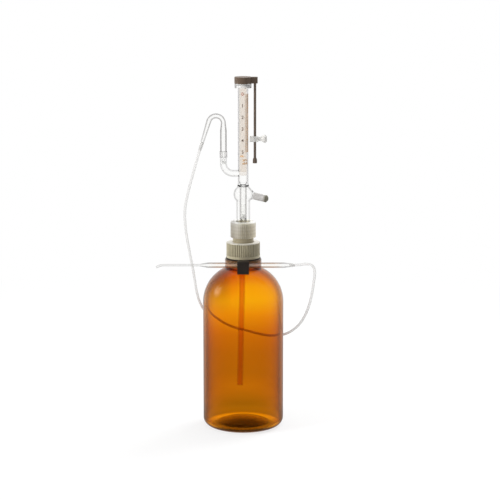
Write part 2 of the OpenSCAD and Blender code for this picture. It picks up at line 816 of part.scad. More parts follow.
module top_cap() {
    arm_r = rod_d / 2 + rod_boss;
    color([0.36, 0.3, 0.24])
        difference() {
            translate([0, 0, knob_z])
                union() {
                    cylinder(r = knob_d / 2, h = knob_h);
                    translate([0, -arm_r, 0])
                        cube([rod_x, 2 * arm_r, knob_h]);
                    translate([rod_x, 0, 0])
                        cylinder(r = arm_r, h = knob_h);
                }
            translate([0, 0, knob_z - overlap])
                cylinder(r = plunger_r + push_fit, h = plunger_seat + overlap);
            translate([rod_x, 0, knob_z - overlap])
                cylinder(r = rod_d / 2 + push_fit, h = rod_seat + overlap);
        }
}

module stop_rod() {
    bottom = rod_z + bead_h - bead_seat;
    color([0.36, 0.3, 0.25])
        translate([rod_x, 0, bottom])
            cylinder(r = rod_d / 2, h = knob_z + rod_seat - bottom);
}

module rod_end() {
    color([0.3, 0.26, 0.24])
        translate([rod_x, 0, rod_z])
            difference() {
                union() {
                    cylinder(r = bead_d / 2, h = bead_h - bead_cone);
                    translate([0, 0, bead_h - bead_cone])
                        cylinder(r1 = bead_d / 2, r2 = rod_d / 2 + bead_rim, h = bead_cone);
                }
                translate([0, 0, bead_h - bead_seat])
                    cylinder(r = rod_d / 2 + push_fit, h = bead_seat + overlap);
            }
}

module volume_stop() {
    finger_x = barrel_r + finger_gap;
    hub_r = rod_d / 2 + stop_wall;
    color([0.88, 0.87, 0.84])
        difference() {
            translate([0, 0, stop_z])
                union() {
                    translate([finger_x, -stop_w / 2, 0])
                        cube([rod_x - finger_x, stop_w, stop_h]);
                    translate([rod_x, -stop_w / 2, 0])
                        cube([hub_r, stop_w, stop_h]);
                }
            translate([rod_x, 0, stop_z - overlap])
                cylinder(r = rod_d / 2 + run_fit, h = stop_h + 2 * overlap);
            translate([0, 0, stop_z + stop_h / 2])
                rod_x_way(rod_x, hub_r + overlap, screw_d / 2 + run_fit, screw_d / 2 + run_fit);
        }
}

module thumbscrew() {
    face = rod_x + rod_d / 2 + stop_wall + seat_gap;
    start = rod_x + rod_d / 2 + grip_gap;
    flare = face + screw_neck_l;
    crown = flare + screw_flare_l;
    color([0.9, 0.89, 0.87])
        translate([0, 0, stop_z + stop_h / 2])
            union() {
                rod_x_way(start, flare - start, screw_d / 2, screw_d / 2);
                rod_x_way(face, screw_neck_l, screw_neck_d / 2, screw_neck_d / 2);
                rod_x_way(flare, screw_flare_l, screw_neck_d / 2, screw_head_d / 2);
                rod_x_way(crown, face + screw_l - crown, screw_head_d / 2, screw_end_d / 2);
            }
}

// Nozzle as one rod along X, with the bore radius of each stretch or its outside radius
module nozzle_shape(body_r, tip_r, tail_r, cut) {
    tip_x = -nozzle_head - head_l - tip_l;
    rod_x_way(-nozzle_head, nozzle_head + nozzle_tail, body_r, body_r);
    rod_x_way(nozzle_tail, tail_l, body_r, tail_r);
    rod_x_way(nozzle_tail + tail_l - overlap, overlap + cut, tail_r, tail_r);
    rod_x_way(-nozzle_head - head_l, head_l, tip_r, body_r);
    rod_x_way(tip_x, tip_l, tip_r, tip_r);
    bend([tip_x, 0, -tip_bend_r], tip_bend_r, tip_r, 90, tip_bend);
    translate([tip_x - tip_bend_r * sin(tip_bend), 0, -tip_bend_r * (1 - cos(tip_bend))])
        rotate([0, -90 - tip_bend, 0])
            translate([0, 0, -lap])
                cylinder(r = tip_r + lap_step, h = lap + tip_end + cut);
}

module nozzle() {
    color([0.88, 0.9, 0.9])
        translate([0, nozzle_y, nozzle_z])
            difference() {
                nozzle_shape(nozzle_d / 2, tip_d / 2, tail_d / 2, 0);
                nozzle_shape(nozzle_d / 2 - nozzle_wall, tip_bore / 2, tail_bore / 2, overlap);
            }
}

// A point on the smooth curve through four route points
function curve_point(a, b, c, d, t) =
    b + t * (c - a) / 2
      + t * t * (a - 2.5 * b + 2 * c - d / 2)
      + t * t * t * (1.5 * (b - c) + (d - a) / 2);

// Points along the route, with the ends carried on straight
function curve(p, steps) =
    let (n = len(p))
    let (q = concat([2 * p[0] - p[1]], p, [2 * p[n - 1] - p[n - 2]]))
    concat(
        [for (i = [0 : n - 2]) for (k = [0 : steps - 1])
            curve_point(q[i], q[i + 1], q[i + 2], q[i + 3], k / steps)],
        [p[n - 1]]
    );

function unit(v) = v / norm(v);

// Direction of the curve at one of its points
function along(p, i) = unit(p[min(i + 1, len(p) - 1)] - p[max(i - 1, 0)]);

// A round tube swept along points: a ring of corners at each, joined by triangles
module swept_tube(p, d, sides) {
    n = len(p);
    corners = [
        for (i = [0 : n - 1])
            let (way = along(p, i))
            let (across = unit(cross(way, [0, 1, 0])))
            let (over = cross(way, across))
            for (k = [0 : sides - 1])
                p[i] + d / 2 * (cos(360 * k / sides) * across + sin(360 * k / sides) * over)
    ];
    walls = [
        for (i = [0 : n - 2])
            for (k = [0 : sides - 1])
                let (a = i * sides + k)
                let (b = i * sides + (k + 1) % sides)
                each [[a, b + sides, b], [a, a + sides, b + sides]]
    ];
    ends = [
        [for (k = [0 : sides - 1]) k],
        [for (k = [sides - 1 : -1 : 0]) (n - 1) * sides + k]
    ];
    polyhedron(points = corners, faces = concat(walls, ends));
}

module discharge_tube() {
    color([0.9, 0.89, 0.87])
        swept_tube(curve(tube_route, tube_steps), tube_d, tube_sides);
}

bottle();
nozzle_holder();
cap_liner();
adapter();
bottle_cap();
jacket_seal();
clamp_nut();
valve_head();
vent_plug();
inlet_seat();
inlet_cage();
inlet_ball();
dip_tube();
barrel();
outlet_seat();
outlet_ball();
swan_neck();
guide_collar();
plunger();
top_cap();
stop_rod();
rod_end();
volume_stop();
thumbscrew();
nozzle();
discharge_tube();
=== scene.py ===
import json
import math

import bmesh
import bpy
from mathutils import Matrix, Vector


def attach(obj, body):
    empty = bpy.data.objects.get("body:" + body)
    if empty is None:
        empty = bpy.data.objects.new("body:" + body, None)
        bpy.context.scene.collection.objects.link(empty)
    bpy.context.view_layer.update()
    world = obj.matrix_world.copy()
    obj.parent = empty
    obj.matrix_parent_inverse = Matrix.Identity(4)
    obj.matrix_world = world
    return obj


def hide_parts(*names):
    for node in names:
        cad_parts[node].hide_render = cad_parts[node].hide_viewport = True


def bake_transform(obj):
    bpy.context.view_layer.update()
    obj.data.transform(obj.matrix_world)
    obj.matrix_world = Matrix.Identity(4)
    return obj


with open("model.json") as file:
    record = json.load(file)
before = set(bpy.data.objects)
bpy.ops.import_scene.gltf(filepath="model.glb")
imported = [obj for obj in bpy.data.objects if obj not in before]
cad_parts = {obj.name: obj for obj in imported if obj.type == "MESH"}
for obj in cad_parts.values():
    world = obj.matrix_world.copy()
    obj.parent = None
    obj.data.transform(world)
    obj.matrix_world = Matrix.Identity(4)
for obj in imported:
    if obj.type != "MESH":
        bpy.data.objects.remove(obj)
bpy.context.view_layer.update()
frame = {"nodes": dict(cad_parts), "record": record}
scene = bpy.context.scene

# Sizes are in metres and angles in degrees, unless a name says otherwise

# Camera, placed as in the photograph, which is 500 pixels wide
PHOTO_PX = 500
FOCAL_PX = 1797.6
SENSOR_MM = 36.0
CAMERA_AT = (0.008, -2.075, 0.614)
CAMERA_AIM = (0.008, 0.0, 0.2114)
LIGHT_BOUNCES = 32

BACKWARDS = (0, 1, 0)

# Discharge tube: the points that it follows, from the swan neck's tip to the nozzle's tail
TUBE_ROUTE = [
    (-0.0499, 0, 0.3313), (-0.0542, 0.0004, 0.317), (-0.0582, 0.001, 0.303), (-0.062, 0.002, 0.289),
    (-0.065, 0.003, 0.277), (-0.0675, 0.004, 0.265), (-0.0685, 0.005, 0.253), (-0.068, 0.006, 0.24),
    (-0.0665, 0.008, 0.226), (-0.064, 0.01, 0.211), (-0.0615, 0.012, 0.196), (-0.059, 0.014, 0.182),
    (-0.057, 0.017, 0.167), (-0.0545, 0.021, 0.152), (-0.05, 0.027, 0.138), (-0.043, 0.034, 0.128),
    (-0.034, 0.041, 0.12), (-0.023, 0.047, 0.112), (-0.01, 0.051, 0.106), (0.005, 0.052, 0.102),
    (0.019, 0.0495, 0.099), (0.032, 0.044, 0.098), (0.043, 0.036, 0.1), (0.052, 0.027, 0.104),
    (0.06, 0.018, 0.111), (0.067, 0.009, 0.12), (0.072, 0.001, 0.13), (0.076, -0.006, 0.141),
    (0.079, -0.012, 0.153), (0.081, -0.017, 0.165), (0.0825, -0.021, 0.177), (0.0835, -0.024, 0.187),
    (0.0825, -0.0257, 0.195), (0.0785, -0.0262, 0.1993), (0.072, -0.0262, 0.1998),
    (0.066, -0.0262, 0.199), (0.0583, -0.0262, 0.1986),
]
TUBE_D = 0.003
TUBE_STEPS = 6
TUBE_SIDES = 20
# How far back the tube goes behind the bottle, where painted amber light falls on it
BEHIND_FROM_Y = 0.018
BEHIND_TO_Y = 0.036

# Stretched ends of the tube: name, body, end of the glass, way up it, the glass's radius there,
# its taper, and the sleeve's length
SLEEVES = [
    ("swan_sleeve", "swan_neck", (-0.0498, 0, 0.33156), (0.299, 0, 0.954), 0.0017, 0.034, 0.008),
    ("nozzle_sleeve", "nozzle", (0.058, -0.0262, 0.19855), (-1, 0, 0), 0.0018, 0.124, 0.0045),
]
SLEEVE_GAP = 0.00003
SLEEVE_WALL = 0.0003
SLEEVE_LIP_WALL = SLEEVE_WALL - 0.0001
SLEEVE_LIP_LENGTH = 0.0006
# Where a sleeve leaves the tube: place up the glass, wall, and share of the stretch
SLEEVE_START = [(-0.0025, 0.0001, 0), (-0.001, 0.0002, 0.4), (0.0002, SLEEVE_WALL, 1)]

# Scale on the barrel: zero at the top, millilitres down from it
BARREL_R = 0.00605
SCALE_ZERO_Z = 0.3954
SCALE_ML = 0.01348
SCALE_TOP_ML = 5
MARKS_PER_ML = 20
MARK_LIFT = 0.00002
MARK_DEPTH = 0.00005
MARK_H = 0.00034
# Angles of the marks from the front: the longer a mark, the nearer to the front it starts
WHOLE_START = 8.0
HALF_START = 14.0
TENTH_START = 20.0
FINE_START = 28.0
MARK_END = 96.0
MARK_STEP = 8
# Corners of a mark's section: outwards by its depth, and down or up by half its height
MARK_CORNERS = [(0, -1), (1, -1), (1, 1), (0, 1)]
NUMERAL_H = 0.0054
NUMERAL_BOLD = 0.0001
NUMERAL_ANGLE = -6.0
# Small labels below the scale: name, words, size, angle and height
LABELS = [
    ("unit_label", "mL", 0.0036, -12.0, 0.3235),
    ("warmth_label", "20°C", 0.003, 24.0, 0.3184),
    ("tolerance_label", "±0.02", 0.003, 24.0, 0.3148),
]
LABEL_BOLD = 0.0002
LABEL_CUTS = 6

# Bottle: heights and places where its amber changes, most of them where light and shade are painted on it
# Painted light at the back of the heel: heights and depth back over which its wall darkens less
HEEL_LOW_Z = 0.009
HEEL_TOP_Z = 0.014
HEEL_BACK_Y = 0.015
# Painted shade inside the base, centred towards the front, for the shadowed floor seen through its thick
# glass
BASE_TOP_Z = 0.018
BASE_SHADE_CENTRE = (0, -0.008, 0.004)
BASE_SHADE_OUTER_R = 0.038
BASE_SHADE_INNER_R = 0.031
# Top of the painted light and shade by height on the bottle
HEIGHT_LIGHT_TOP_Z = 0.2
# Painted shade on the shoulder: heights where it fades in, and the places across where it is lightest and
# darkest
SHOULDER_LOW_Z = 0.14
SHOULDER_TOP_Z = 0.178
SHOULDER_RIGHT_X = 0.004
SHOULDER_LEFT_X = -0.034
NECK_LOW_Z = 0.191
NECK_TOP_Z = 0.198
# Painted shadow of the nozzle holder's ring on the top of the neck
RING_SHADOW_LOW_Z = 0.1985
RING_SHADOW_TOP_Z = 0.2005
# How far to each side the nozzle carries a painted warm reflection of the amber neck
AMBER_REFLECTION_SIDE_X = 0.05

# Ribs of the bottle cap, with painted shade between them, and its top, pale from a painted light
CAP_ROOT_R = 0.019
CAP_CREST_R = 0.0197
CAP_TOP_Z = 0.22145
CAP_LIT_FROM_Z = CAP_TOP_Z - 0.0009
CAP_LIT_TO_Z = CAP_TOP_Z - 0.0006

# Clamp nut, its threads, and the length of a wave texture's band at scale 1
NUT_R = 0.0125
NUT_LOW_Z = 0.232
NUT_TOP_Z = 0.2505
NUT_THREAD = 0.004
BAND_PERIOD = 0.314

# Inlet tube in the jacket, and the way out from it over which the jacket's look takes over
INLET_R = 0.0041
JACKET_FROM_R = INLET_R + 0.0002
JACKET_TO_R = INLET_R + 0.001

# Dip tube: heights over which its brown tint ends
DIP_TINT_FULL_Z = 0.19
DIP_TINT_GONE_Z = 0.215

# Direction of the vent plug, where its outer end lies along that, and where the painted shade on its end
# starts
PLUG_AXIS = (0.858617, -0.495722, -0.130526)
PLUG_END = -0.0036
PLUG_SHADE_FROM = PLUG_END - 0.0045
PLUG_SHADE_FULL = PLUG_END - 0.0015

# Sealed joint between the valve head and the barrel, beside which the glass is faint
SEAM_R = 0.0069
SEAM_Z = 0.28735
SEAM_WIRE_R = 0.0001
SEAM_TURNS = 64
SEAM_SIDES = 10
SEAM_FADE_FAR = 0.0006
SEAM_FADE_NEAR = 0.0003

# Stage
FLOOR_HALF = 6.0
FLOOR_NEAR = 0.3
FLOOR_AWAY = 0.9
FLOOR_GLOW = 0.74
FLOOR_DIM_CENTRE = (0, -0.012, 0)
WORLD_LIGHT = 0.28
# Lamps, all aimed at one point: name, place, width and watts
LAMP_TARGET = (0, 0, 0.22)
LAMPS = [
    ("key", (-2.0, -0.8, 1.0), 0.9, 40),
    ("top", (0.1, 0.3, 1.9), 1.2, 14),
    ("front", (-0.3, -2.2, 1.1), 1.2, 5),
    ("back", (1.2, 1.2, 1.4), 1.2, 32),
]
CARD_AT = (-1.4, 0.0, 0.8)
CARD_TARGET = (0, 0, 0.17)
CARD_SIZE = 1.1
CARD_STRENGTH = 9.0

# Sockets of a mix node when it mixes colours
MIX_FIRST = 6
MIX_SECOND = 7
MIX_RESULT = 2

# The range that noise mostly keeps to
NOISE_LOW = 0.3
NOISE_HIGH = 0.7

WHITE = (1.0, 1.0, 1.0)


def link(obj):
    scene.collection.objects.link(obj)
    return obj


def mesh_object(name, verts, faces, smooth=True):
    mesh = bpy.data.meshes.new(name)
    mesh.from_pydata([tuple(v) for v in verts], [], faces)
    mesh.validate()
    for polygon in mesh.polygons:
        polygon.use_smooth = smooth
    return link(bpy.data.objects.new(name, mesh))


def square(name, half):
    corners = [(-half, -half, 0), (half, -half, 0), (half, half, 0), (-half, half, 0)]
    return mesh_object(name, corners, [(0, 1, 2, 3)])


def aim(obj, at, target):
    obj.location = at
    obj.rotation_euler = (Vector(target) - Vector(at)).to_track_quat("-Z", "Y").to_euler()


def make_camera():
    data = bpy.data.cameras.new("camera")
    data.sensor_width = SENSOR_MM
    data.lens = SENSOR_MM * FOCAL_PX / PHOTO_PX
    camera = link(bpy.data.objects.new("camera", data))
    aim(camera, CAMERA_AT, CAMERA_AIM)
    scene.camera = camera


# Discharge tube and its sleeves
def smooth_route(points, steps):
    """Points on the smooth curve through the route, with its ends carried on straight."""
    p = [Vector(q) for q in points]
    p = [2 * p[0] - p[1]] + p + [2 * p[-1] - p[-2]]
    out = []
    for a, b, c, d in zip(p, p[1:], p[2:], p[3:]):
        for k in range(steps):
            t = k / steps
            square_term = a - 2.5 * b + 2 * c - 0.5 * d
            cube_term = 1.5 * (b - c) + 0.5 * (d - a)
            out.append(b + t * 0.5 * (c - a) + t * t * square_term + t ** 3 * cube_term)
    return out + [p[-2]]


def on_circle(centre, radius, angle, side, over):
    """A point of a circle, by its angle in radians from one of its axes towards the other."""
    return centre + radius * (math.cos(angle) * side + math.sin(angle) * over)


def swept_tube(name, points, radius, sides):
    """A closed round tube along the points."""
    verts = []
    for i, point in enumerate(points):
        way = points[min(i + 1, len(points) - 1)] - points[max(i - 1, 0)]
        side = way.cross(Vector(BACKWARDS)).normalized()
        over = way.cross(side).normalized()
        for k in range(sides):
            verts.append(on_circle(point, radius, math.tau * k / sides, side, over))
    faces = []
    for i in range(len(points) - 1):
        for k in range(sides):
            a = i * sides + k
            b = i * sides + (k + 1) % sides
            faces.append((a, b, b + sides, a + sides))
    last = (len(points) - 1) * sides
    faces.append(tuple(range(sides - 1, -1, -1)))
    faces.append(tuple(range(last, last + sides)))
    return mesh_object(name, verts, faces)


def make_discharge_tube():
    path = smooth_route(TUBE_ROUTE, TUBE_STEPS)
    tube = swept_tube("discharge_tube_soft", path, TUBE_D / 2, TUBE_SIDES)
    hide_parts("discharge_tube")
    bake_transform(tube)
    return tube


def make_sleeve(name, stations, body):
    """A closed hollow sleeve: stations are (point, outer radius, inner radius) along its axis."""
    loop = [(point, outer) for point, outer, inner in stations]
    loop += [(point, inner) for point, outer, inner in reversed(stations)]
    way = (stations[-1][0] - stations[0][0]).normalized()
    side = way.cross(Vector(BACKWARDS)).normalized()
    over = way.cross(side)
    size = len(loop)
    verts, faces = [], []
    for k in range(TUBE_SIDES):
        n = (k + 1) % TUBE_SIDES
        for j, (point, r) in enumerate(loop):
            i = (j + 1) % size
            verts.append(on_circle(point, r, math.tau * k / TUBE_SIDES, side, over))
            faces.append((k * size + j, k * size + i, n * size + i, n * size + j))
    sleeve = mesh_object(name, verts, faces)
    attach(sleeve, body)
    return sleeve


def make_sleeves():
    """The stretched ends of the discharge tube, on the swan neck's tip and the nozzle's tail."""
    sleeves = []
    for name, body, end, up, end_r, taper, length in SLEEVES:
        end, up = Vector(end), Vector(up).normalized()
        lip = [(length - SLEEVE_LIP_LENGTH, SLEEVE_WALL, 1), (length, SLEEVE_LIP_WALL, 1)]
        stations = []
        for place, wall, stretch in SLEEVE_START + lip:
            r = TUBE_D / 2 + stretch * (end_r + taper * place - TUBE_D / 2) + SLEEVE_GAP
            stations.append((end + place * up, r + wall, r))
        sleeves.append(make_sleeve(name, stations, body))
    return sleeves


# Shader helpers: most make nodes in a material and return the socket that they feed
def new_material(name):
    material = bpy.data.materials.new(name)
    material.use_nodes = True
    return material, material.node_tree, material.node_tree.nodes["Principled BSDF"]


def set_inputs(node, **values):
    for name, value in values.items():
        node.inputs[name.replace("_", " ")].default_value = value


def own_coords(tree):
    """Place in the piece's own coordinates."""
    return tree.nodes.new("ShaderNodeTexCoord").outputs["Object"]


def own_place(tree):
    parts = tree.nodes.new("ShaderNodeSeparateXYZ")
    tree.links.new(own_coords(tree), parts.inputs["Vector"])
    return parts


def height(tree):
    """Height up the object."""
    return own_place(tree).outputs["Z"]


def across(tree):
    """Place across the object towards the stop rod."""
    return own_place(tree).outputs["X"]


def vector_math(tree, operation, first, second=None):
    node = tree.nodes.new("ShaderNodeVectorMath")
    node.operation = operation
    tree.links.new(first, node.inputs[0])
    if second is not None:
        node.inputs[1].default_value = second
    return node


def along(tree, direction):
    """Place along a direction."""
    return vector_math(tree, "DOT_PRODUCT", own_coords(tree), direction).outputs["Value"]


def distance(tree, centre=(0, 0, 0)):
    """Distance from a point of the piece."""
    return vector_math(tree, "DISTANCE", own_coords(tree), centre).outputs["Value"]


def from_axis(tree):
    """Distance from the object's upright axis."""
    flat = vector_math(tree, "MULTIPLY", own_coords(tree), (1, 1, 0))
    return vector_math(tree, "LENGTH", flat.outputs["Vector"]).outputs["Value"]


def map_range(tree, value, low, high, kind):
    node = tree.nodes.new("ShaderNodeMapRange")
    node.interpolation_type = kind
    set_inputs(node, From_Min=low, From_Max=high)
    tree.links.new(value, node.inputs["Value"])
    return node


def linear(tree, value, low, high):
    """0 at a value and 1 at another, straight between them."""
    return map_range(tree, value, low, high, "LINEAR").outputs["Result"]


def between(tree, value, low, high):
    """0 at a value and 1 at another, with a smooth step between them."""
    return map_range(tree, value, low, high, "SMOOTHSTEP").outputs["Result"]


def mix_colours(tree, first, second, kind):
    node = tree.nodes.new("ShaderNodeMix")
    node.data_type = "RGBA"
    node.blend_type = kind
    tree.links.new(first, node.inputs[MIX_FIRST])
    tree.links.new(second, node.inputs[MIX_SECOND])
    return node


def times(tree, first, second):
    """Two colours or values multiplied."""
    node = mix_colours(tree, first, second, "MULTIPLY")
    node.inputs["Factor"].default_value = 1.0
    return node.outputs[MIX_RESULT]


def blend_colours(tree, factor, first, second):
    """The first colour where a factor is 0, and the second where it is 1."""
    node = mix_colours(tree, first, second, "MIX")
    tree.links.new(factor, node.inputs["Factor"])
    return node.outputs[MIX_RESULT]


def ramp(tree, value, stops):
    """Colours along a value: stops are (position, colour), and a colour may go above 1."""
    node = tree.nodes.new("ShaderNodeValToRGB")
    band = node.color_ramp
    while len(band.elements) < len(stops):
        band.elements.new(0.5)
    for element, (position, colour) in zip(band.elements, stops):
        element.position = position
        element.color = (*colour, 1.0)
    tree.links.new(value, node.inputs["Fac"])
    return node.outputs["Color"]


def greys(*stops):
    """Stops of a ramp in grey: each is (position, value)."""
    return [(position, (value,) * 3) for position, value in stops]


def edge_colour(tree, stops):
    """Colour of a clear piece, which darkens where it is seen along its wall: a painted dark outline."""
    weight = tree.nodes.new("ShaderNodeLayerWeight")
    return ramp(tree, weight.outputs["Facing"], stops)


def noise(tree, scale, detail=3.0):
    """Noise in the piece's own coordinates, with a scale in waves per metre."""
    texture = tree.nodes.new("ShaderNodeTexNoise")
    set_inputs(texture, Scale=scale, Detail=detail)
    tree.links.new(own_coords(tree), texture.inputs["Vector"])
    return texture.outputs["Fac"]


def drift(tree, scale, low, high):
    """A colour that drifts between two."""
    return ramp(tree, noise(tree, scale), [(NOISE_LOW, low), (NOISE_HIGH, high)])


def paint(tree, shader, colour):
    tree.links.new(colour, shader.inputs["Base Color"])


def painted(shader):
    """The socket that a shader takes its colour from."""
    return shader.inputs["Base Color"].links[0].from_socket


def mottle(tree, shader, colour, spread, scale):
    """A base colour that drifts by a share of itself."""
    low = tuple(c * (1 - spread) for c in colour)
    high = tuple(min(1.0, c * (1 + spread)) for c in colour)
    paint(tree, shader, drift(tree, scale, low, high))


def roughen(tree, shader, scale, low, high):
    """Roughness that drifts between two values."""
    patches = drift(tree, scale, (low,) * 3, (high,) * 3)
    tree.links.new(patches, shader.inputs["Roughness"])


def bump(tree, shader, relief, depth):
    node = tree.nodes.new("ShaderNodeBump")
    set_inputs(node, Strength=1.0, Distance=depth)
    tree.links.new(relief, node.inputs["Height"])
    tree.links.new(node.outputs["Normal"], shader.inputs["Normal"])


def mix_shaders(tree, factor, first, second):
    node = tree.nodes.new("ShaderNodeMixShader")
    tree.links.new(factor, node.inputs["Fac"])
    tree.links.new(first, node.inputs[1])
    tree.links.new(second, node.inputs[2])
    return node.outputs["Shader"]


def add_shaders(tree, first, second):
    node = tree.nodes.new("ShaderNodeAddShader")
    tree.links.new(first, node.inputs[0])
    tree.links.new(second, node.inputs[1])
    return node.outputs["Shader"]


def let_lamps_through(tree, shader, tint):
    """Light from lamps passes the piece, so that what is behind it is lit."""
    clear = tree.nodes.new("ShaderNodeBsdfTransparent")
    set_inputs(clear, Color=(*tint, 1.0))
    to_lamp = tree.nodes.new("ShaderNodeLightPath").outputs["Is Shadow Ray"]
    surface = mix_shaders(tree, to_lamp, shader.outputs["BSDF"], clear.outputs["BSDF"])
    tree.links.new(surface, tree.nodes["Material Output"].inputs["Surface"])


def absorb(tree, colour, density):
    """Light that is lost inside the material."""
    volume = tree.nodes.new("ShaderNodeVolumeAbsorption")
    set_inputs(volume, Color=(*colour, 1.0), Density=density)
    tree.links.new(volume.outputs["Volume"], tree.nodes["Material Output"].inputs["Volume"])


# Colours of the bottle: by how far its wall is seen from the side (a painted dark outline), softer at the
# back of its heel (painted light), by its height (painted light and shade), by the place across its
# shoulder (painted shade), and at its neck
AMBER_WALL = [
    (0.0, (1.0, 0.99, 0.97)), (0.32, (0.98, 0.96, 0.94)), (0.45, (0.87, 0.82, 0.78)),
    (0.54, (0.72, 0.64, 0.58)), (0.65, (0.36, 0.3, 0.27)), (0.84, (0.15, 0.13, 0.12)),
    (1.0, (0.1, 0.09, 0.08)),
]
# Painted light: the back of the heel darkens less along its wall
AMBER_HEEL_LIGHT = [
    (0.0, (1.0, 0.99, 0.97)), (0.75, (0.92, 0.88, 0.84)), (0.86, (0.7, 0.62, 0.55)),
    (0.95, (0.3, 0.26, 0.22)), (1.0, (0.1, 0.09, 0.08)),
]
# Painted light and shade by height: brightest at the shoulder, darker and redder lower down, with a
# painted shadow where the neck rises
AMBER_HEIGHT_LIGHT = [
    (0.06, (1.0, 0.82, 1.0)), (0.14, (1.0, 0.74, 1.0)), (0.17, (0.92, 0.68, 0.92)),
    (0.2, (0.79, 0.57, 0.79)), (0.26, (0.69, 0.49, 0.7)), (0.375, (0.7, 0.5, 0.7)),
    (0.49, (0.72, 0.49, 0.68)), (0.61, (0.86, 0.6, 0.715)), (0.73, (1.0, 0.88, 0.92)),
    (0.8, (1.0, 1.0, 1.0)), (0.87, (0.98, 0.87, 0.76)), (0.93, (0.85, 0.62, 0.46)),
    (0.945, (0.8, 0.55, 0.4)), (0.957, (0.45, 0.3, 0.2)),
]
# Painted shade across the shoulder, deepest on its left
AMBER_SHOULDER_SHADE = [
    (0.0, (1.0, 0.88, 0.8)), (0.32, (0.93, 0.69, 0.6)), (0.45, (0.9, 0.64, 0.5)),
    (0.69, (0.7, 0.5, 0.4)), (0.94, (0.61, 0.465, 0.38)),
]
AMBER_NECK = [(0.1, (0.6, 0.36, 0.16)), (0.4, (0.6, 0.34, 0.12)), (0.75, (0.42, 0.27, 0.12))]

# Colours of clear tubes, by how far their walls are seen from the side, which paint their dark outlines
NARROW = [
    (0.0, (0.985, 0.985, 0.98)), (0.2, (0.965, 0.965, 0.96)), (0.36, (0.68, 0.67, 0.66)),
    (0.55, (0.34, 0.33, 0.32)), (1.0, (0.1, 0.09, 0.09)),
]
WIDE = [
    (0.0, (0.99, 0.99, 0.985)), (0.4, (0.975, 0.975, 0.97)), (0.62, (0.85, 0.845, 0.84)),
    (0.85, (0.55, 0.54, 0.53)), (1.0, (0.3, 0.29, 0.28)),
]
EVEN = [
    (0.0, (0.99, 0.99, 0.985)), (0.3, (0.965, 0.965, 0.96)), (0.45, (0.78, 0.77, 0.76)),
    (0.65, (0.45, 0.44, 0.43)), (1.0, (0.2, 0.19, 0.18)),
]
MIDDLE = [
    (0.0, (0.985, 0.985, 0.98)), (0.2, (0.97, 0.97, 0.965)), (0.36, (0.82, 0.81, 0.8)),
    (0.55, (0.55, 0.54, 0.53)), (1.0, (0.22, 0.21, 0.2)),
]
WARM_REFLECTION = [
    (0.0, (0.985, 0.975, 0.96)), (0.2, (0.95, 0.92, 0.88)), (0.36, (0.62, 0.47, 0.36)),
    (0.55, (0.33, 0.2, 0.13)), (1.0, (0.1, 0.05, 0.03)),
]
FAINT = [
    (0.0, (0.99, 0.99, 0.985)), (0.5, (0.96, 0.96, 0.955)), (0.8, (0.88, 0.87, 0.86)),
    (1.0, (0.75, 0.74, 0.73)),
]
DIP_LOW_TINT = [
    (0.0, (0.91, 0.7, 0.66)), (0.4, (0.87, 0.65, 0.6)), (0.65, (0.62, 0.42, 0.36)),
    (1.0, (0.34, 0.22, 0.19)),
]
COLLAR = [
    (0.0, (0.98, 0.98, 0.975)), (0.3, (0.94, 0.94, 0.935)), (0.5, (0.62, 0.61, 0.6)),
    (0.75, (0.32, 0.31, 0.3)), (1.0, (0.12, 0.11, 0.11)),
]
MILKY = [(0.0, (0.88, 0.86, 0.84)), (0.35, (0.78, 0.76, 0.74)), (1.0, (0.38, 0.36, 0.35))]

# Painted light and shade on the clamp nut, from its left to its right, and from its foot to its top
NUT_SIDE_LIGHT_SHADE = [
    (0.0, (0.62, 0.61, 0.61)), (0.2, (0.93, 0.93, 0.94)), (0.5, (0.78, 0.76, 0.69)),
    (0.7, (0.9, 0.88, 0.81)), (1.0, (1.45, 1.4, 1.32)),
]
NUT_TOP_LIGHT = [
    (0.0, (0.95, 0.92, 0.85)), (0.55, (1.02, 1.01, 0.97)), (0.7, (1.28, 1.31, 1.36)),
    (0.95, (1.33, 1.36, 1.42)), (0.99, (1.0, 1.0, 1.0)),
]


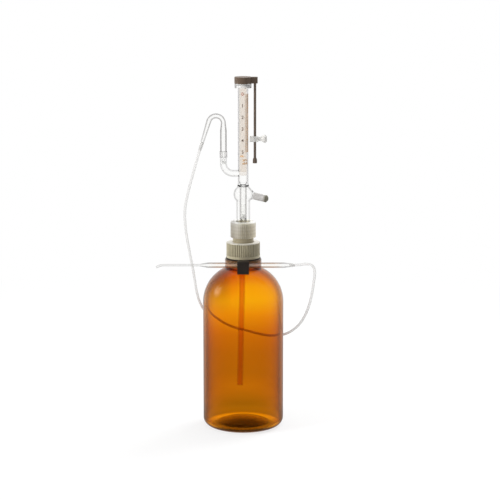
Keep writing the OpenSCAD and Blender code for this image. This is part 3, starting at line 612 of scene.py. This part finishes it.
# Materials with a function of their own: most are a slot of the record
def amber_glass():
    """Amber glass, darker along its wall as a painted outline, with painted light and shade by height, at
    its base and on its shoulder, a painted lighter back of its heel, and duller at the neck under a
    painted shadow of the ring.
    """
    material, tree, shader = new_material("amber_glass")
    set_inputs(shader, IOR=1.5, Specular_Tint=(0.3, 0.18, 0.07, 1.0))
    rise = between(tree, height(tree), NECK_LOW_Z, NECK_TOP_Z)
    clear = ramp(tree, rise, greys((0.1, 1.0), (0.6, 0.45)))
    tree.links.new(clear, shader.inputs["Transmission Weight"])
    rough = ramp(tree, rise, greys((0.1, 0.01), (0.6, 0.06)))
    tree.links.new(rough, shader.inputs["Roughness"])

    # Painted light at the back of the heel
    low = linear(tree, height(tree), HEEL_TOP_Z, HEEL_LOW_Z)
    lit_heel = times(tree, low, linear(tree, along(tree, BACKWARDS), 0.0, HEEL_BACK_Y))
    wall = blend_colours(tree, lit_heel, edge_colour(tree, AMBER_WALL), edge_colour(tree, AMBER_HEEL_LIGHT))
    # Painted shade inside the base
    base_shade_spot = linear(tree, distance(tree, BASE_SHADE_CENTRE), BASE_SHADE_OUTER_R, BASE_SHADE_INNER_R)
    base = times(tree, linear(tree, height(tree), BASE_TOP_Z, HEEL_LOW_Z), base_shade_spot)
    wall = times(tree, wall, ramp(tree, base, [(0.0, WHITE), (1.0, (0.32, 0.27, 0.22))]))
    # Painted light and shade by height
    wall = times(tree, wall, ramp(tree, linear(tree, height(tree), 0.0, HEIGHT_LIGHT_TOP_Z), AMBER_HEIGHT_LIGHT))
    # Painted shade on the left of the shoulder
    shoulder_shade = ramp(tree, linear(tree, across(tree), SHOULDER_RIGHT_X, SHOULDER_LEFT_X), AMBER_SHOULDER_SHADE)
    shoulder = linear(tree, height(tree), SHOULDER_LOW_Z, SHOULDER_TOP_Z)
    wall = blend_colours(tree, shoulder, wall, times(tree, wall, shoulder_shade))

    # Painted shadow of the nozzle holder's ring
    ring_shadow = linear(tree, height(tree), RING_SHADOW_LOW_Z, RING_SHADOW_TOP_Z)
    shade = ramp(tree, ring_shadow, [(0.0, WHITE), (1.0, (0.35, 0.33, 0.3))])
    dull = times(tree, ramp(tree, rise, AMBER_NECK), shade)
    neck = ramp(tree, rise, greys((0.02, 0.0), (0.3, 1.0)))
    paint(tree, shader, blend_colours(tree, neck, wall, dull))
    bump(tree, shader, noise(tree, 35, 1.0), 0.00003)
    absorb(tree, (0.992, 0.889, 0.0), 1000.0)
    let_lamps_through(tree, shader, (0.48, 0.43, 0.36))
    return material


def tube_glass(name, stops, ior=1.04):
    """Clear glass of thin tubes, with a painted dark outline along their walls."""
    material, tree, shader = new_material(name)
    set_inputs(shader, IOR=ior, Transmission_Weight=1.0, Coat_Weight=0.1, Coat_Roughness=0.02)
    roughen(tree, shader, 200, 0.0, 0.004)
    paint(tree, shader, edge_colour(tree, stops))
    let_lamps_through(tree, shader, (0.98, 0.98, 0.98))
    return material, tree, shader


def clear_glass():
    return tube_glass("clear_glass", NARROW)[0]


def nozzle_glass():
    """The nozzle's glass, which mirrors its surroundings, with a painted warm reflection of the amber
    neck beside it.
    """
    material, tree, shader = tube_glass("nozzle_glass", NARROW)
    set_inputs(shader, Coat_Weight=0.8)
    # Painted warm reflection of the amber neck on the nozzle beside it
    place = linear(tree, across(tree), -AMBER_REFLECTION_SIDE_X, AMBER_REFLECTION_SIDE_X)
    painted_amber_zone = ramp(tree, place, greys((0.08, 0.0), (0.2, 1.0), (0.85, 1.0), (0.97, 0.0)))
    paint(tree, shader, blend_colours(tree, painted_amber_zone, painted(shader), edge_colour(tree, WARM_REFLECTION)))
    return material


def valve_glass():
    return tube_glass("valve_glass", FAINT)[0]


def jacket_glass():
    """The jacket and its bulb have a faint outline, and the inlet tube inside them a darker one."""
    material, tree, shader = tube_glass("jacket_glass", WIDE)
    outside = between(tree, from_axis(tree), JACKET_FROM_R, JACKET_TO_R)
    look = blend_colours(tree, outside, edge_colour(tree, MIDDLE), painted(shader))
    seam = between(tree, height(tree), SEAM_Z - SEAM_FADE_FAR, SEAM_Z - SEAM_FADE_NEAR)
    paint(tree, shader, blend_colours(tree, seam, look, edge_colour(tree, FAINT)))
    return material


def barrel_glass():
    """The barrel's glass magnifies the plunger, and is faint at the seam."""
    material, tree, shader = tube_glass("barrel_glass", EVEN, 1.2)
    seam = between(tree, height(tree), SEAM_Z + SEAM_FADE_FAR, SEAM_Z + SEAM_FADE_NEAR)
    paint(tree, shader, blend_colours(tree, seam, painted(shader), edge_colour(tree, FAINT)))
    return material


def ground_glass():
    material, tree, shader = new_material("ground_glass")
    set_inputs(shader, IOR=1.05, Transmission_Weight=1.0)
    mottle(tree, shader, (0.9, 0.86, 0.82), 0.04, 500)
    roughen(tree, shader, 900, 0.4, 0.55)
    return material


def moulded(name, colour, roughness, spread=0.05, grain=1800, depth=0.00003):
    """Moulded plastic or rubber: a drifting colour, patchy gloss and a fine grain."""
    material, tree, shader = new_material(name)
    mottle(tree, shader, colour, spread, 90)
    roughen(tree, shader, 300, roughness - 0.07, roughness + 0.07)
    bump(tree, shader, noise(tree, grain), depth)
    return material, tree, shader


def cap_plastic():
    """The beige plastic of the cap, with painted shade between its ribs and a painted light on its pale
    top.
    """
    material, tree, shader = moulded("cap_plastic", (0.46, 0.41, 0.275), 0.33)
    crest = between(tree, from_axis(tree), CAP_ROOT_R, CAP_CREST_R)
    # Painted shade in the valleys between the ribs
    painted_rib_shade = drift(tree, 400, (0.18, 0.155, 0.1), (0.23, 0.205, 0.135))
    ribbed = blend_colours(tree, crest, painted_rib_shade, painted(shader))
    # Painted light on the cap's top
    top = between(tree, height(tree), CAP_LIT_FROM_Z, CAP_LIT_TO_Z)
    painted_top_light = drift(tree, 200, (0.7, 0.67, 0.6), (0.76, 0.73, 0.66))
    paint(tree, shader, blend_colours(tree, top, ribbed, painted_top_light))
    return material


def nut_plastic():
    """Translucent plastic, through which the threads inside show as faint bands, with painted light and
    shade across it and up it.
    """
    material, tree, shader = moulded("nut_plastic", (0.7, 0.68, 0.62), 0.4, 0.04)
    bands = tree.nodes.new("ShaderNodeTexWave")
    bands.bands_direction = "Z"
    set_inputs(bands, Scale=BAND_PERIOD / NUT_THREAD, Distortion=0.4, Detail=1.0)
    tree.links.new(own_coords(tree), bands.inputs["Vector"])
    tint = ramp(tree, bands.outputs["Fac"], [(0.2, (0.53, 0.505, 0.45)), (0.8, (0.58, 0.56, 0.51))])
    # Painted light and shade: darker at the left edge and middle, much lighter at the right edge, and
    # lighter on the upper half
    shade = ramp(tree, linear(tree, across(tree), -NUT_R, NUT_R), NUT_SIDE_LIGHT_SHADE)
    painted_upward_light = ramp(tree, linear(tree, height(tree), NUT_LOW_Z, NUT_TOP_Z), NUT_TOP_LIGHT)
    paint(tree, shader, times(tree, times(tree, tint, shade), painted_upward_light))
    set_inputs(shader, Subsurface_Weight=1.0, Subsurface_Scale=0.005, Subsurface_Radius=WHITE)
    let_lamps_through(tree, shader, (0.75, 0.73, 0.68))
    return material


def grey_rubber():
    """Grey rubber, with a painted shade towards the plug's outer end."""
    material, tree, shader = moulded("grey_rubber", (0.5, 0.485, 0.47), 0.6)
    # Painted shade on the plug's outer end
    painted_end_shade = drift(tree, 250, (0.17, 0.16, 0.12), (0.21, 0.2, 0.15))
    outer = linear(tree, along(tree, PLUG_AXIS), PLUG_SHADE_FROM, PLUG_SHADE_FULL)
    paint(tree, shader, blend_colours(tree, outer, painted(shader), painted_end_shade))
    return material


def tube_plastic():
    """Milky tube, which hides more along its wall, with painted amber light on it behind the bottle."""
    material, tree, shader = new_material("tube_plastic")
    set_inputs(shader, Specular_IOR_Level=0.2)
    roughen(tree, shader, 300, 0.3, 0.45)
    # Painted amber light on the tube behind the bottle, where it also hides more
    behind = between(tree, along(tree, BACKWARDS), BEHIND_FROM_Y, BEHIND_TO_Y)
    tint = ramp(tree, behind, [(0.0, WHITE), (1.0, (1.0, 0.5, 0.22))])
    paint(tree, shader, times(tree, edge_colour(tree, MILKY), tint))
    thin = edge_colour(tree, greys((0.0, 0.27), (0.35, 0.33), (0.7, 0.5), (1.0, 0.7)))
    dense = edge_colour(tree, greys((0.0, 0.45), (0.7, 0.55), (1.0, 0.8)))
    tree.links.new(blend_colours(tree, behind, thin, dense), shader.inputs["Alpha"])
    return material


def dip_plastic():
    """Clear tube, tinted brown and darker below the bottle's neck."""
    material, tree, shader = new_material("dip_plastic")
    set_inputs(shader, IOR=1.03, Transmission_Weight=1.0)
    roughen(tree, shader, 300, 0.0, 0.02)
    above = between(tree, height(tree), DIP_TINT_FULL_Z, DIP_TINT_GONE_Z)
    paint(tree, shader, blend_colours(tree, above, edge_colour(tree, DIP_LOW_TINT), edge_colour(tree, NARROW)))
    let_lamps_through(tree, shader, (0.9, 0.9, 0.9))
    return material


def clear_plastic():
    material, tree, shader = new_material("clear_plastic")
    set_inputs(shader, IOR=1.05, Transmission_Weight=0.6)
    roughen(tree, shader, 400, 0.0, 0.03)
    paint(tree, shader, edge_colour(tree, COLLAR))
    let_lamps_through(tree, shader, (0.95, 0.95, 0.95))
    return material


def stain(name, colour):
    """Colour fired into the glass of the scale."""
    return moulded(name, colour, 0.4, 0.15, 6000, 0.00001)[0]


OWN_MATERIALS = [
    amber_glass, clear_glass, nozzle_glass, valve_glass, jacket_glass, barrel_glass, ground_glass,
    cap_plastic, nut_plastic, grey_rubber, tube_plastic, dip_plastic, clear_plastic,
]
# Plain moulded materials: name, colour, roughness, drift of the colour, and other inputs.
# The sleeves' plastic is the tube's, where it is stretched over glass
PLAIN_MATERIALS = [
    ("beige_plastic", (0.33, 0.285, 0.185), 0.33, 0.05, {}),
    ("black_plastic", (0.016, 0.011, 0.008), 0.5, 0.2, {"Specular_IOR_Level": 0.2}),
    ("white_seal", (0.78, 0.76, 0.7), 0.55, 0.05, {}),
    ("white_fluoroplastic", (0.9, 0.9, 0.88), 0.45, 0.05, {"Alpha": 0.4, "Specular_IOR_Level": 0.2}),
    ("sleeve_plastic", (0.9, 0.89, 0.87), 0.4, 0.05, {"Alpha": 0.3, "Specular_IOR_Level": 0.2}),
    ("translucent_plastic", (0.92, 0.91, 0.88), 0.25, 0.03, {"Transmission_Weight": 0.4, "IOR": 1.06}),
    ("brown_plastic", (0.115, 0.078, 0.053), 0.4, 0.08, {"Specular_IOR_Level": 0.3}),
    ("brown_coated_metal", (0.135, 0.1, 0.075), 0.45, 0.08, {"Specular_IOR_Level": 0.3}),
]
# Nodes that look a little different from the rest of their slot
OWN_LOOKS = {
    "dip_tube": "dip_plastic", "valve_head": "jacket_glass", "barrel": "barrel_glass",
    "bottle_cap": "cap_plastic", "inlet_cage": "valve_glass", "inlet_ball": "valve_glass",
    "nozzle": "nozzle_glass",
}


def make_materials():
    made = {make.__name__: make() for make in OWN_MATERIALS}
    for name, colour, roughness, spread, inputs in PLAIN_MATERIALS:
        material, _, shader = moulded(name, colour, roughness, spread)
        set_inputs(shader, **inputs)
        made[name] = material
    return made


def dress_cad_nodes(materials):
    for part in frame["record"]["subparts"]:
        node = frame["nodes"][part["node"]]
        node.data.materials.clear()
        node.data.materials.append(materials[OWN_LOOKS.get(part["node"], part["material_slot"])])


# Scale on the barrel
def on_barrel(angle, z, lift=0.0):
    """A point on the barrel, by its angle from the front towards the stop rod."""
    a = math.radians(angle)
    r = BARREL_R + lift
    return Vector((r * math.sin(a), -r * math.cos(a), z))


def arc_bars(name, bars):
    """Closed bars that lie round the barrel: each is (from angle, to angle, z, height)."""
    sides = len(MARK_CORNERS)
    verts, faces = [], []
    for a0, a1, z, h in bars:
        steps = max(2, round((a1 - a0) / MARK_STEP))
        base = len(verts)
        for i in range(steps + 1):
            a = a0 + (a1 - a0) * i / steps
            for lift, side in MARK_CORNERS:
                verts.append(on_barrel(a, z + side * h / 2, MARK_LIFT + lift * MARK_DEPTH))
        for i in range(steps):
            for k in range(sides):
                a = base + sides * i + k
                b = base + sides * i + (k + 1) % sides
                faces.append((a, a + sides, b + sides, b))
        end = base + sides * steps
        faces.append(tuple(range(base, base + sides)))
        faces.append(tuple(range(end + sides - 1, end - 1, -1)))
    return mesh_object(name, verts, faces, smooth=False)


def scale_z(ml):
    return SCALE_ZERO_Z - SCALE_ML * ml


def mark_start(i):
    """Angle where a mark starts, by its number from the top."""
    if i % MARKS_PER_ML == 0:
        return WHOLE_START
    if i % (MARKS_PER_ML // 2) == 0:
        return HALF_START
    if i % 2 == 0:
        return TENTH_START
    return FINE_START


def make_marks(material):
    bars = []
    for i in range(SCALE_TOP_ML * MARKS_PER_ML + 1):
        bars.append((mark_start(i), MARK_END, scale_z(i / MARKS_PER_ML), MARK_H))
    marks = arc_bars("scale_marks", bars)
    marks.data.materials.append(material)
    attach(marks, "bottle")


def make_label(name, words, size, angle, z, material, bold):
    """Words wrapped round the barrel, as a thin closed mesh."""
    curve = bpy.data.curves.new(name, "FONT")
    curve.body = words
    curve.size = size
    curve.align_x = "CENTER"
    curve.align_y = "CENTER"
    curve.extrude = MARK_DEPTH / 2
    curve.offset = bold
    flat = link(bpy.data.objects.new(name + "_flat", curve))
    bpy.context.view_layer.update()
    mesh = bpy.data.meshes.new_from_object(flat.evaluated_get(bpy.context.evaluated_depsgraph_get()))
    bpy.data.objects.remove(flat)
    mesh.name = name
    work = bmesh.new()
    work.from_mesh(mesh)
    # Cut across, so that the faces can follow the barrel
    for i in range(-LABEL_CUTS, LABEL_CUTS + 1):
        geometry = work.verts[:] + work.edges[:] + work.faces[:]
        cut = (i * size / (2 * LABEL_CUTS), 0, 0)
        bmesh.ops.bisect_plane(work, geom=geometry, plane_co=cut, plane_no=(1, 0, 0))
    for v in work.verts:
        turn = angle + math.degrees(v.co.x / BARREL_R)
        v.co = on_barrel(turn, z + v.co.y, MARK_LIFT + MARK_DEPTH / 2 + v.co.z)
    work.to_mesh(mesh)
    work.free()
    mesh.materials.clear()
    mesh.materials.append(material)
    label = link(bpy.data.objects.new(name, mesh))
    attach(label, "bottle")


def make_scale():
    amber = stain("scale_amber", (0.74, 0.43, 0.2))
    brown = stain("scale_brown", (0.12, 0.07, 0.045))
    red = stain("scale_red", (0.45, 0.13, 0.06))
    make_marks(amber)
    for ml in range(SCALE_TOP_ML + 1):
        colour = brown if ml else red
        make_label(f"numeral_{ml}", str(ml), NUMERAL_H, NUMERAL_ANGLE, scale_z(ml), colour, NUMERAL_BOLD)
    for name, words, size, angle, z in LABELS:
        make_label(name, words, size, angle, z, amber, LABEL_BOLD)


def make_seam():
    """The dark ring where the valve head and the barrel are sealed together."""
    verts, faces = [], []
    for i in range(SEAM_TURNS):
        a = math.tau * i / SEAM_TURNS
        n = (i + 1) % SEAM_TURNS
        for k in range(SEAM_SIDES):
            b = math.tau * k / SEAM_SIDES
            m = (k + 1) % SEAM_SIDES
            r = SEAM_R + SEAM_WIRE_R * math.cos(b)
            verts.append((r * math.cos(a), r * math.sin(a), SEAM_Z + SEAM_WIRE_R * math.sin(b)))
            here, there = i * SEAM_SIDES, n * SEAM_SIDES
            faces.append((here + k, there + k, there + m, here + m))
    seam = mesh_object("sealed_joint", verts, faces)
    seam.data.materials.append(moulded("sealed_glass", (0.24, 0.23, 0.22), 0.2)[0])
    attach(seam, "bottle")


# Stage: floor, world and lamps
def math_node(tree, operation, first, second):
    node = tree.nodes.new("ShaderNodeMath")
    node.operation = operation
    tree.links.new(first, node.inputs[0])
    tree.links.new(second, node.inputs[1])
    return node.outputs["Value"]


def by_glass(tree, path):
    """1 for what is seen in a reflection or through glass, and 0 for what lights a surface."""
    unlit = tree.nodes.new("ShaderNodeMath")
    unlit.operation = "LESS_THAN"
    unlit.inputs[1].default_value = 0.5
    tree.links.new(path.outputs["Diffuse Depth"], unlit.inputs[0])
    glass = math_node(tree, "MAXIMUM", path.outputs["Is Glossy Ray"], path.outputs["Is Transmission Ray"])
    return math_node(tree, "MULTIPLY", glass, unlit.outputs["Value"])


def emission(tree, strength=1.0, colour=None):
    """Light of a strength, white unless a socket gives its colour."""
    node = tree.nodes.new("ShaderNodeEmission")
    set_inputs(node, Strength=strength)
    if colour is not None:
        tree.links.new(colour, node.inputs["Color"])
    return node.outputs["Emission"]


def make_floor():
    """A white floor that keeps the object's shadow near it, and is dimmer near it through glass and in
    reflections, a painted shadow, with a painted bright ring round the bottle's foot through glass.
    """
    floor = square("floor", FLOOR_HALF)
    material, tree, shader = new_material("floor")
    set_inputs(shader, Roughness=0.9, Base_Color=(0.6, 0.6, 0.6, 1.0))
    faint = tree.nodes.new("ShaderNodeBsdfDiffuse")
    set_inputs(faint, Color=(0.25, 0.25, 0.25, 1.0))
    near = add_shaders(tree, emission(tree, FLOOR_GLOW), faint.outputs["BSDF"])
    away = between(tree, distance(tree), FLOOR_NEAR, FLOOR_AWAY)
    seen = mix_shaders(tree, away, near, emission(tree))
    # Painted shadow of the bottle on the floor seen through glass, with a painted bright ring round its
    # foot; in reflections the floor is painted darker towards the object
    dim = ramp(tree, distance(tree, FLOOR_DIM_CENTRE), greys(
        (0.0, 0.05), (0.034, 0.07), (0.04, 0.8), (0.047, 0.9), (0.054, 0.42), (0.1, 0.45), (0.2, 0.95),
        (0.25, 1.0),
    ))
    dusk = ramp(tree, distance(tree), greys((0.0, 0.2), (0.1, 0.45), (0.5, 0.6), (1.0, 1.0)))
    path = tree.nodes.new("ShaderNodeLightPath")
    surface = mix_shaders(tree, path.outputs["Is Camera Ray"], shader.outputs["BSDF"], seen)
    mirrored = emission(tree, colour=dusk)
    through = emission(tree, colour=dim)
    glass = mix_shaders(tree, path.outputs["Is Transmission Ray"], mirrored, through)
    surface = mix_shaders(tree, by_glass(tree, path), surface, glass)
    tree.links.new(surface, tree.nodes["Material Output"].inputs["Surface"])
    floor.data.materials.append(material)


def make_world():
    """A dim white world that looks full white to the camera and through glass."""
    world = bpy.data.worlds.new("studio")
    world.use_nodes = True
    tree = world.node_tree
    light = tree.nodes["Background"]
    set_inputs(light, Color=(*WHITE, 1.0), Strength=WORLD_LIGHT)
    white = tree.nodes.new("ShaderNodeBackground")
    set_inputs(white, Color=(*WHITE, 1.0), Strength=1.0)
    path = tree.nodes.new("ShaderNodeLightPath")
    looked_at = math_node(tree, "MAXIMUM", path.outputs["Is Camera Ray"], by_glass(tree, path))
    surface = mix_shaders(tree, looked_at, light.outputs["Background"], white.outputs["Background"])
    tree.links.new(surface, tree.nodes["World Output"].inputs["Surface"])
    scene.world = world


def make_lamp(name, at, size, watts):
    """A square lamp that reflections and glass don't show, because its edges are hard."""
    data = bpy.data.lights.new(name, "AREA")
    data.shape = "RECTANGLE"
    data.size = size
    data.size_y = size
    data.energy = watts
    lamp = link(bpy.data.objects.new(name, data))
    lamp.visible_glossy = False
    lamp.visible_transmission = False
    aim(lamp, at, LAMP_TARGET)


def make_card():
    """A glowing card that fades towards its edge, and that only reflections show."""
    name = "shoulder_card"
    card = square(name, CARD_SIZE / 2)
    aim(card, CARD_AT, CARD_TARGET)
    material, tree, _ = new_material(name)
    fade = map_range(tree, distance(tree), CARD_SIZE / 2, 0.0, "SMOOTHERSTEP")
    set_inputs(fade, To_Max=CARD_STRENGTH)
    glow = tree.nodes.new("ShaderNodeEmission")
    tree.links.new(fade.outputs["Result"], glow.inputs["Strength"])
    clear = tree.nodes.new("ShaderNodeBsdfTransparent")
    surface = add_shaders(tree, glow.outputs["Emission"], clear.outputs["BSDF"])
    tree.links.new(surface, tree.nodes["Material Output"].inputs["Surface"])
    card.data.materials.append(material)
    card.visible_camera = False
    card.visible_diffuse = False
    card.visible_transmission = False
    card.visible_shadow = False


make_camera()
tube = make_discharge_tube()
sleeves = make_sleeves()
materials = make_materials()
tube.data.materials.append(materials["tube_plastic"])
for sleeve in sleeves:
    sleeve.data.materials.append(materials["sleeve_plastic"])
dress_cad_nodes(materials)
make_scale()
make_seam()
make_floor()
make_world()
for lamp in LAMPS:
    make_lamp(*lamp)
make_card()
scene.view_settings.view_transform = "Standard"
scene.cycles.max_bounces = LIGHT_BOUNCES
scene.cycles.transmission_bounces = LIGHT_BOUNCES
scene.cycles.transparent_max_bounces = LIGHT_BOUNCES
